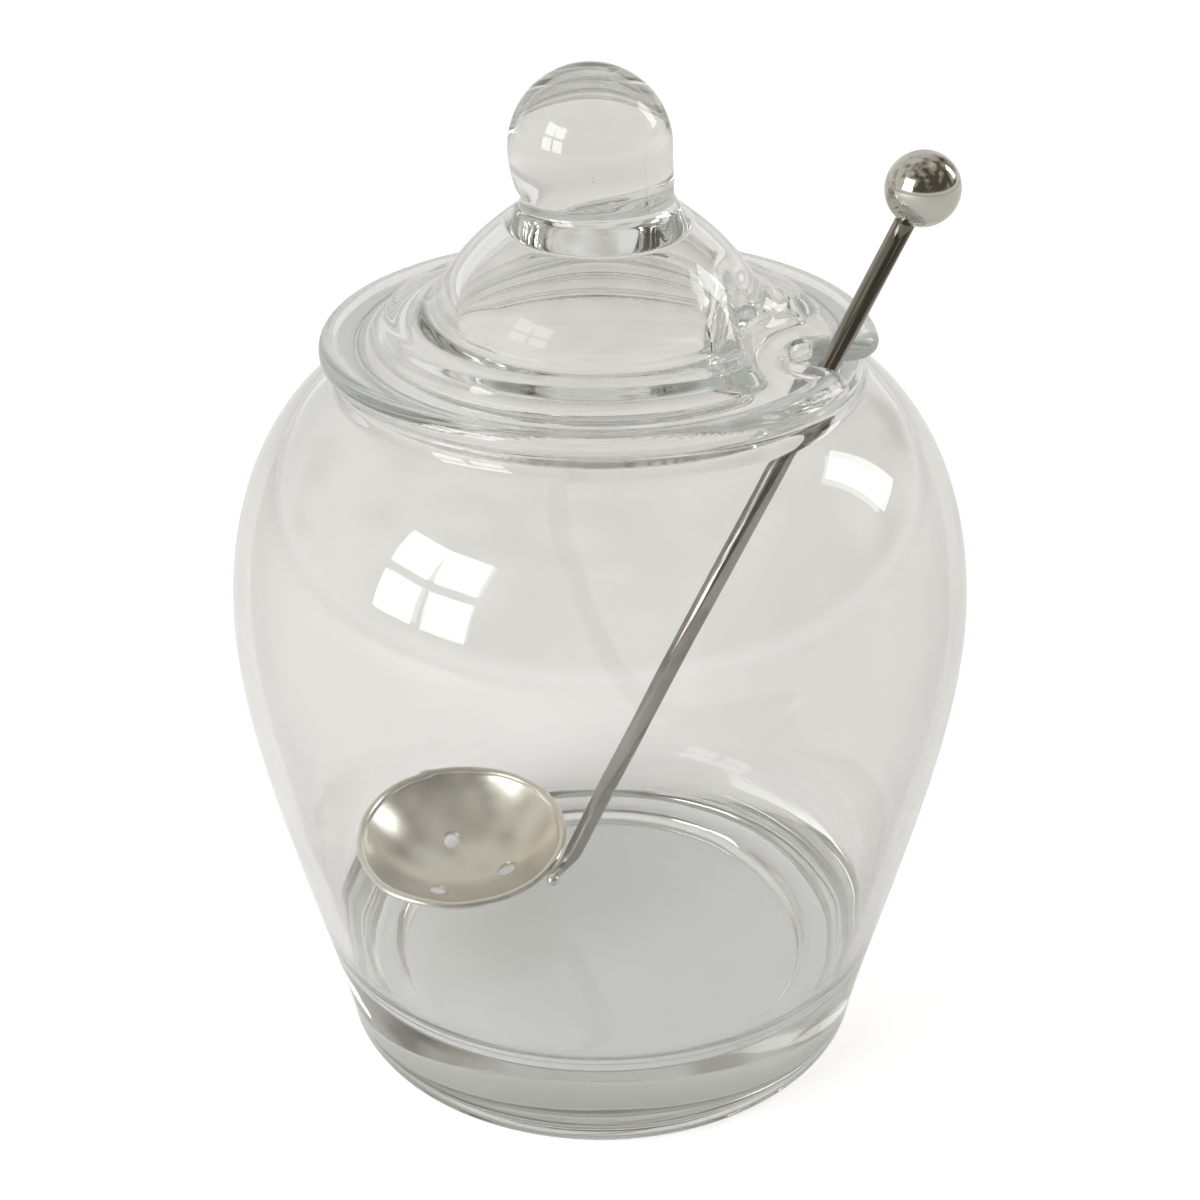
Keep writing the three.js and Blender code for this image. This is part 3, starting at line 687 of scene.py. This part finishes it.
def make_bowl():
    """The bowl: a cap of a sphere with a rolled rim and three drain holes."""
    def distance(x, y, z):
        r = np.hypot(x, y)
        out = np.hypot(r, z - sphere_height)
        middle = (sphere_inside + sphere_outside) / 2
        sheet = np.maximum(np.abs(out - middle) - BOWL_SHEET / 2, z + 0 * r)
        bead = np.hypot(r - BOWL_RADIUS - BOWL_BEAD, z) - BOWL_BEAD
        shell = blend_min(sheet, bead, BEAD_BLEND)
        for i in range(DRAIN_COUNT):
            angle = DRAIN_AZIMUTH + 2 * math.pi * i / DRAIN_COUNT
            hole_x = DRAIN_SHIFT + DRAIN_CIRCLE * math.cos(angle)
            hole = np.hypot(x - hole_x, y - DRAIN_CIRCLE * math.sin(angle)) - DRAIN_RADIUS
            shell = blend_max(shell, -(hole + 0 * z), DRAIN_BLEND)
        return shell

    reach = rim_outside + LADLE_MARGIN
    low = (-reach, -reach, sphere_height - sphere_outside - LADLE_MARGIN)
    high = (reach, reach, BOWL_BEAD + LADLE_MARGIN)
    return put(net_piece("bowl", distance, low, high, BOWL_CELL))


def beside_rim(angle, thickness):
    """The middle of a strip of this thickness that lies along the bowl's rim."""
    out = rim_outside + REST_GAP + thickness / 2
    return np.array([out * math.cos(angle), out * math.sin(angle), -TAB_DROP])


def make_handle():
    """The rod with its flattened blade, the bend and the tab along the rim."""
    around = np.linspace(0, 2 * math.pi, HANDLE_SIDES, endpoint=False)
    foot = beside_rim(ROD_AZIMUTH, BLADE_WIDTH)
    outwards = np.array([math.cos(ROD_AZIMUTH), math.sin(ROD_AZIMUTH), 0])
    path = []
    for share in np.linspace(0, 1, CORNER_STEPS):
        angle = TAB_START + (TAB_END - TAB_START) * share
        tangent = np.array([-math.sin(angle), math.cos(angle), 0])
        normal = np.array([math.cos(angle), math.sin(angle), 0])
        path.append((beside_rim(angle, TAB_THICKNESS), tangent, normal, TAB_THICKNESS, TAB_WIDTH))
    start, end = beside_rim(TAB_END, TAB_THICKNESS), foot + rod_direction * BEND_RISE
    for share in np.linspace(0, 1, CORNER_STEPS + 1)[1:]:
        centre = (1 - share) ** 2 * start + 2 * (1 - share) * share * foot + share ** 2 * end
        tangent = 2 * (1 - share) * (foot - start) + 2 * share * (end - foot)
        ease = smooth(share)
        depth = TAB_THICKNESS + (BLADE_WIDTH - TAB_THICKNESS) * ease
        width = TAB_WIDTH + (BLADE_THICKNESS - TAB_WIDTH) * ease
        path.append((centre, tangent, outwards, depth, width))
    for share in np.linspace(0, 1, CORNER_STEPS + 1)[1:]:
        ease = smooth(share)
        along = BLADE_LENGTH + BLADE_TAPER * share
        depth = BLADE_WIDTH + (2 * ROD_RADIUS - BLADE_WIDTH) * ease
        width = BLADE_THICKNESS + (2 * ROD_RADIUS - BLADE_THICKNESS) * ease
        path.append((foot + rod_direction * along, rod_direction, outwards, depth, width))
    rod_top = foot + rod_direction * ROD_LENGTH
    path.append((rod_top, rod_direction, outwards, 2 * ROD_RADIUS, 2 * ROD_RADIUS))
    vertices = []
    for centre, tangent, normal, depth, width in path:
        wide = np.cross(tangent, normal)
        wide /= np.linalg.norm(wide)
        deep = np.cross(wide, tangent)
        deep /= np.linalg.norm(deep)
        across = np.outer(np.cos(around) * depth / 2, deep)
        vertices.append(centre + across + np.outer(np.sin(around) * width / 2, wide))
    faces = bands(len(path), HANDLE_SIDES)
    faces.append(list(range(HANDLE_SIDES))[::-1])
    faces.append([(len(path) - 1) * HANDLE_SIDES + i for i in range(HANDLE_SIDES)])
    return put(add_mesh("handle", np.vstack(vertices), faces))


def make_weld():
    """The weld bead that joins the tab's end to the rim."""
    centre = beside_rim(TAB_START, WELD_RADIUS * 2)

    def distance(x, y, z):
        rise = (z - centre[2]) / WELD_FLATNESS
        return np.sqrt((x - centre[0]) ** 2 + (y - centre[1]) ** 2 + rise ** 2) - WELD_RADIUS

    reach = WELD_RADIUS + LADLE_MARGIN
    return put(net_piece("weld", distance, centre - reach, centre + reach, BOWL_CELL / 2))


def make_ball():
    """The ball on the rod's end, with the socket that the rod goes into. Its own frame
    has the origin at its middle and +Z up the rod."""
    socket = ROD_RADIUS + SOCKET_CLEARANCE
    mouth = math.acos(socket / BALL_RADIUS)
    shell = arc(0, 0, BALL_RADIUS, -mouth, math.pi / 2, 2 * CURVE_STEPS)
    bottom = SOCKET_DEPTH - BALL_RADIUS
    edge = -math.sin(mouth) * BALL_RADIUS
    profile = np.vstack([(0, bottom), (socket, bottom), (socket, edge), shell[1:]])
    low, high = (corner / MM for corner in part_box("ladle_ball"))
    turn = Vector((0, 0, 1)).rotation_difference(lift_axis).to_matrix().to_4x4()
    place = Matrix.Translation((low + high) / 2) @ turn
    return put(add_mesh("ball", *revolve(profile, ROUND_STEPS // 2)), place)


# Materials


def new_material(name):
    """A node material, with its nodes and links."""
    material = bpy.data.materials.new(name)
    material.use_nodes = True
    return material, material.node_tree.nodes, material.node_tree.links


def feed(links, socket, value):
    """Gives a socket another node's output, or a plain value."""
    if isinstance(value, bpy.types.NodeSocket):
        links.new(value, socket)
    else:
        socket.default_value = value


def calculate(nodes, links, operation, *values):
    """The result of a maths node on numbers and other nodes' outputs."""
    node = nodes.new("ShaderNodeMath")
    node.operation = operation
    for socket, value in zip(node.inputs, values):
        feed(links, socket, value)
    return node.outputs["Value"]


def mix_colours(nodes, links, share, a, b):
    """A colour between a and b, each a colour or another node's output."""
    node = nodes.new("ShaderNodeMix")
    node.data_type = "RGBA"
    links.new(share, node.inputs["Factor"])
    feed(links, node.inputs["A"], a)
    feed(links, node.inputs["B"], b)
    return node.outputs["Result"]


def mix_shaders(nodes, links, share, first, second):
    """The first shader, and the second where the share is 1."""
    node = nodes.new("ShaderNodeMixShader")
    links.new(share, node.inputs["Fac"])
    links.new(first, node.inputs[1])
    links.new(second, node.inputs[2])
    return node.outputs["Shader"]


def noise(nodes, links, scale, detail=PATTERN_DETAIL, stretch=None):
    """A noise texture in the object's own metres, stretched along its axes."""
    place = nodes.new("ShaderNodeTexCoord").outputs["Object"]
    if stretch:
        mapping = nodes.new("ShaderNodeMapping")
        mapping.inputs["Scale"].default_value = stretch
        links.new(place, mapping.inputs["Vector"])
        place = mapping.outputs["Vector"]
    texture = nodes.new("ShaderNodeTexNoise")
    texture.inputs["Scale"].default_value = scale
    texture.inputs["Detail"].default_value = detail
    links.new(place, texture.inputs["Vector"])
    return texture.outputs["Fac"]


def ramp(nodes, links, source, low, high, middle=None, start=RAMP_START, end=RAMP_END):
    """Turns a noise into a colour between two colours, past a middle one if it has one."""
    node = nodes.new("ShaderNodeValToRGB")
    node.color_ramp.elements[0].position = start
    node.color_ramp.elements[1].position = end
    node.color_ramp.elements[0].color = low
    node.color_ramp.elements[1].color = high
    if middle:
        node.color_ramp.elements.new((start + end) / 2).color = middle
    links.new(source, node.inputs["Fac"])
    return node.outputs["Color"]


def bump(nodes, links, source, height, shader):
    """Gives a shader a fine relief of this height from a noise."""
    node = nodes.new("ShaderNodeBump")
    node.inputs["Distance"].default_value = height
    links.new(source, node.inputs["Height"])
    links.new(node.outputs["Normal"], shader.inputs["Normal"])


def glass_material():
    """Clear glass, faintly uneven as blown glass is, and greyer at its edges by painted shade. Lamps shine
    through it, and a ray that stays caught inside it ends in a painted pale glow, light that the glass gives
    out though it is no lamp."""
    material, nodes, links = new_material("clear_glass")
    shader = nodes["Principled BSDF"]
    output = nodes["Material Output"]
    shader.inputs["Transmission Weight"].default_value = 1
    shader.inputs["Roughness"].default_value = 0
    shader.inputs["IOR"].default_value = GLASS_IOR
    waves = noise(nodes, links, GLASS_WAVES, GLASS_WAVE_DETAIL)
    bump(nodes, links, waves, GLASS_WAVE_HEIGHT, shader)

    edge = nodes.new("ShaderNodeLayerWeight")
    edge.inputs["Blend"].default_value = GLASS_EDGE_BLEND
    facing = edge.outputs["Facing"]
    grazing = nodes.new("ShaderNodeMapRange")
    grazing.interpolation_type = "SMOOTHSTEP"
    grazing.inputs["From Min"].default_value = GLASS_EDGE_START
    grazing.inputs["From Max"].default_value = GLASS_EDGE_END
    links.new(facing, grazing.inputs["Value"])
    tint = ramp(nodes, links, noise(nodes, links, GLASS_PATCHES), GLASS_DARK, GLASS_LIGHT)
    # painted shade: the base colour greys towards grazing angles, in place of darker surroundings seen at the
    # glass's edges
    edge_painted_shade = mix_colours(nodes, links, grazing.outputs["Result"], tint, GLASS_EDGE)
    links.new(edge_painted_shade, shader.inputs["Base Color"])

    clear = nodes.new("ShaderNodeBsdfTransparent")
    shade = mix_colours(nodes, links, facing, SHADOW_FACING, SHADOW_EDGE)
    links.new(shade, clear.inputs["Color"])
    # painted glow: an emission that gives light to a ray caught deep in the glass, though the glass is no
    # lamp
    painted_glow = nodes.new("ShaderNodeEmission")
    painted_glow.inputs["Color"].default_value = CAUGHT_LIGHT
    path = nodes.new("ShaderNodeLightPath")
    caught = calculate(nodes, links, "GREATER_THAN", path.outputs["Ray Depth"], CAUGHT_DEPTH)
    glass = mix_shaders(nodes, links, caught, shader.outputs["BSDF"], painted_glow.outputs["Emission"])
    surface = mix_shaders(nodes, links, path.outputs["Is Shadow Ray"], glass, clear.outputs["BSDF"])
    links.new(surface, output.inputs["Surface"])
    material.cycles.emission_sampling = "NONE"

    depth = nodes.new("ShaderNodeVolumeAbsorption")
    depth.inputs["Color"].default_value = GLASS_DEPTH_COLOUR
    depth.inputs["Density"].default_value = GLASS_DEPTH_DENSITY
    links.new(depth.outputs["Volume"], output.inputs["Volume"])
    return material


def steel_material(name, dark, light, patches, roughness, grain, relief, stretch=None):
    """Stainless steel in faint patches, whose roughness and fine relief follow a grain."""
    material, nodes, links = new_material(name)
    shader = nodes["Principled BSDF"]
    shader.inputs["Metallic"].default_value = 1
    tint = ramp(nodes, links, noise(nodes, links, patches), dark, light)
    links.new(tint, shader.inputs["Base Color"])
    pattern = noise(nodes, links, grain, stretch=stretch)
    spread = nodes.new("ShaderNodeMapRange")
    spread.inputs["To Min"].default_value = roughness[0]
    spread.inputs["To Max"].default_value = roughness[1]
    links.new(pattern, spread.inputs["Value"])
    links.new(spread.outputs["Result"], shader.inputs["Roughness"])
    bump(nodes, links, pattern, relief, shader)
    return material


# Room: floor, surroundings and windows


def floor_material():
    """A pale floor that looks white beside the object and keeps its shadow."""
    material, nodes, links = new_material("pale_floor")
    shader = nodes["Principled BSDF"]
    shader.inputs["Roughness"].default_value = 1
    shader.inputs["Specular IOR Level"].default_value = 0
    shader.inputs["Emission Color"].default_value = WHITE
    tint = ramp(nodes, links, noise(nodes, links, FLOOR_PATCHES), FLOOR_DARK, FLOOR_LIGHT)
    links.new(tint, shader.inputs["Base Color"])
    path = nodes.new("ShaderNodeLightPath")
    direct = path.outputs["Is Camera Ray"]
    seen = calculate(nodes, links, "MAXIMUM", direct, path.outputs["Is Glossy Ray"])
    seen = calculate(nodes, links, "MAXIMUM", seen, path.outputs["Is Transmission Ray"])
    white = calculate(nodes, links, "MULTIPLY", direct, FLOOR_WHITE)
    strength = calculate(nodes, links, "MULTIPLY_ADD", seen, FLOOR_GLOW, white)
    links.new(strength, shader.inputs["Emission Strength"])
    return material


def make_floor():
    """A wide round floor just under the jar."""
    around = np.linspace(0, 2 * math.pi, FLOOR_SIDES, endpoint=False)
    ring = np.column_stack([np.cos(around), np.sin(around), np.zeros(FLOOR_SIDES)]) * FLOOR_REACH
    floor = add_mesh("floor", (ring - (0, 0, FLOOR_DROP)) / MM, [list(range(FLOOR_SIDES))])
    floor.data.materials.append(floor_material())


def make_world():
    """Pale at the horizon; above it a dim room, lighter on the window's side."""
    world = bpy.data.worlds.new("room")
    bpy.context.scene.world = world
    world.use_nodes = True
    nodes, links = world.node_tree.nodes, world.node_tree.links
    place = nodes.new("ShaderNodeTexCoord").outputs["Generated"]
    side = nodes.new("ShaderNodeVectorMath")
    side.operation = "DOT_PRODUCT"
    side.inputs[1].default_value = ROOM_LIGHT_SIDE
    links.new(place, side.inputs[0])
    texture = nodes.new("ShaderNodeTexNoise")
    texture.inputs["Scale"].default_value = ROOM_NOISE
    texture.inputs["Detail"].default_value = ROOM_DETAIL
    links.new(place, texture.inputs["Vector"])
    uneven = texture.outputs["Fac"]
    level = calculate(nodes, links, "MULTIPLY_ADD", side.outputs["Value"], ROOM_SIDE_SHARE, uneven)
    room = ramp(nodes, links, level, ROOM_DARK, ROOM_LIGHT, ROOM_WARM, ROOM_START, ROOM_END)
    split = nodes.new("ShaderNodeSeparateXYZ")
    links.new(place, split.inputs["Vector"])
    height = nodes.new("ShaderNodeMapRange")
    height.inputs["From Min"].default_value = HORIZON_LOW
    height.inputs["From Max"].default_value = HORIZON_HIGH
    links.new(split.outputs["Z"], height.inputs["Value"])
    colour = mix_colours(nodes, links, height.outputs["Result"], WHITE, room)
    links.new(colour, nodes["Background"].inputs["Color"])


def add_pane(name, azimuth, elevation, distance, width, height, radiance):
    """A pane of light that faces the jar. Azimuth 0 is in front, 90 is at +X."""
    azimuth, elevation = math.radians(azimuth), math.radians(elevation)
    level = math.cos(elevation)
    way = Vector((math.sin(azimuth) * level, -math.cos(azimuth) * level, math.sin(elevation)))
    lamp = bpy.data.lights.new(name, "AREA")
    lamp.shape = "RECTANGLE"
    lamp.size, lamp.size_y = width, height
    lamp.energy = radiance * width * height * math.pi
    pane = bpy.data.objects.new(name, lamp)
    pane.location = way * distance + Vector((0, 0, BELLY_HEIGHT * MM))
    pane.rotation_euler = way.to_track_quat("Z", "Y").to_euler()
    bpy.context.scene.collection.objects.link(pane)


def make_lamps():
    """A window of panes at the front left, and a tall pane at the right."""
    for column in range(PANES_ACROSS):
        for row in range(PANES_UP):
            azimuth = WINDOW_AZIMUTH + PANE_STEP * column
            elevation = WINDOW_ELEVATION + PANE_STEP * row
            add_pane(
                f"window_{column}{row}", azimuth, elevation, WINDOW_DISTANCE,
                PANE_SIDE, PANE_SIDE, WINDOW_RADIANCE,
            )
    add_pane(
        "side_window", SIDE_AZIMUTH, SIDE_ELEVATION, SIDE_DISTANCE,
        SIDE_WIDTH, SIDE_HEIGHT, SIDE_RADIANCE,
    )


def make_camera():
    """The camera at the place, pitch and roll that the photograph was taken from."""
    camera = bpy.data.cameras.new("camera")
    camera.sensor_width = CAMERA_SENSOR
    camera.lens = CAMERA_LENS
    camera.clip_start = CAMERA_NEAR
    eye = bpy.data.objects.new("camera", camera)
    tilt = Matrix.Rotation(math.pi / 2 - CAMERA_PITCH, 4, "X") @ Matrix.Rotation(CAMERA_ROLL, 4, "Z")
    eye.matrix_world = Matrix.Translation(CAMERA_PLACE) @ tilt
    bpy.context.scene.collection.objects.link(eye)
    bpy.context.scene.camera = eye


def dress(piece, material, body, slot, *nodes):
    """Gives a piece its finish, its body and the CAD nodes that it stands for."""
    piece.data.materials.append(material)
    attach(piece, body)
    if nodes:
        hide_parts(*nodes)


# Scene

scene = bpy.context.scene
scene.view_settings.view_transform = "Standard"
scene.cycles.max_bounces = MOST_BOUNCES
scene.cycles.transmission_bounces = MOST_BOUNCES
scene.cycles.transparent_max_bounces = MOST_CLEAR_BOUNCES
scene.cycles.glossy_bounces = MOST_GLOSSY_BOUNCES
scene.cycles.sample_clamp_indirect = BRIGHTEST_BOUNCE
scene.cycles.use_denoising = True

make_camera()
make_world()
make_lamps()
make_floor()

glass = glass_material()
satin = steel_material(
    "satin_steel", SATIN_WARM_PAINTED_REFLECTION, SATIN_LIGHT, SATIN_PATCHES, SATIN_ROUGHNESS, SATIN_GRAIN, SATIN_RELIEF,
)
polished = steel_material(
    "polished_steel", BALL_DARK, BALL_LIGHT, POLISHED_PATCHES,
    BALL_ROUGHNESS, POLISHED_GRAIN, POLISHED_RELIEF,
)
# painted shade: a darker copy of the polished steel, for the rod
rod_steel_painted_shade = steel_material(
    "rod_steel_painted_shade", ROD_PAINTED_SHADE_DARK, ROD_PAINTED_SHADE_LIGHT, POLISHED_PATCHES,
    ROD_ROUGHNESS, POLISHED_GRAIN, POLISHED_RELIEF, ROD_STRETCH,
)
dress(make_jar(), glass, "jar", "clear_glass", "jar_body")
dress(make_lid(), glass, "lid", "clear_glass", "lid_cover", "lid_knob")
dress(make_bowl(), satin, "ladle", "satin_steel", "ladle_bowl")
dress(make_handle(), rod_steel_painted_shade, "ladle", "polished_steel", "ladle_handle")
dress(make_weld(), satin, "ladle", "satin_steel")
dress(make_ball(), polished, "ladle", "polished_steel", "ladle_ball")
